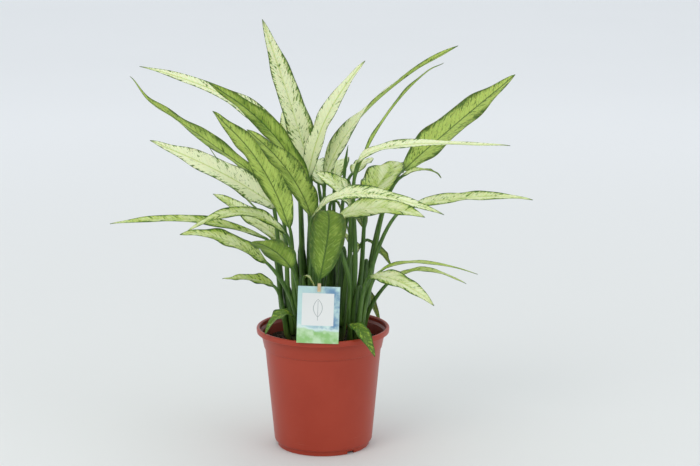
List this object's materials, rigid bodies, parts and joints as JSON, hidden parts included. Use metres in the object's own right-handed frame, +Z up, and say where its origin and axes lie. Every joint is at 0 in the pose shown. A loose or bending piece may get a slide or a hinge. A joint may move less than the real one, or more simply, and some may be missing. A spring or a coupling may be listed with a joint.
{
  "type": "potted dieffenbachia",
  "caption": "Variegated leafy houseplant with arching lance-shaped leaves in a round tapered plastic nursery pot, with a blank-motif label card on a pick.",
  "frame": {"origin": "where the pot's axis meets the floor, which is also the middle of the base of the whole plant's box", "axes": "+Z up along the pot's axis; -Y towards the label; +X to the right when the label is seen from the front"},
  "size_m": [0.5962, 0.3764, 0.6032],
  "materials": {
    "pot": "satin terracotta-coloured plastic",
    "soil": null,
    "card": "coated card with a plain painted landscape",
    "pick": "bare split wood",
    "stem": null,
    "leaf": null
  },
  "bodies": {
    "root": {"pot": "pot", "soil": "soil", "label_card": "card", "label_pick": "pick", "cane_left": "stem", "cane_left_back": "stem", "cane_left_front": "stem", "cane_front": "stem", "cane_middle": "stem", "cane_right_middle": "stem", "cane_right_front": "stem", "cane_right": "stem", "cane_back": "stem", "leaf_far_left_top": "leaf", "leaf_left_green": "leaf", "leaf_left_long": "leaf", "leaf_front_left_high": "leaf", "leaf_front_mid_high": "leaf", "leaf_left_cream": "leaf", "leaf_left_edge": "leaf", "leaf_left_back_low": "leaf", "leaf_far_left": "leaf", "leaf_left_arch": "leaf", "leaf_left_low": "leaf", "leaf_front_left_grey": "leaf", "leaf_low_left": "leaf", "leaf_card_back": "leaf", "leaf_in_pot": "leaf", "leaf_front_centre": "leaf", "leaf_cream_arch": "leaf", "leaf_under_arch": "leaf", "leaf_small_hang": "leaf", "leaf_round_back": "leaf", "leaf_right_big": "leaf", "leaf_right_small": "leaf", "leaf_far_right": "leaf", "leaf_right_thin": "leaf", "leaf_right_narrow": "leaf", "leaf_cream_right": "leaf", "leaf_cream_up": "leaf", "leaf_top": "leaf", "leaf_back_a": "leaf", "leaf_back_b": "leaf", "leaf_back_c": "leaf", "leaf_inner": "leaf", "leaf_right_low": "leaf", "leaf_right_thin_high": "leaf", "leaf_right_thin_low": "leaf", "leaf_right_back": "leaf", "leaf_over_back": "leaf", "leaf_over_front": "leaf", "leaf_mid_small": "leaf", "leaf_behind_top": "leaf", "leaf_centre_hang": "leaf", "leaf_centre_fold": "leaf", "leaf_spear": "leaf"}
  },
  "joints": []
}
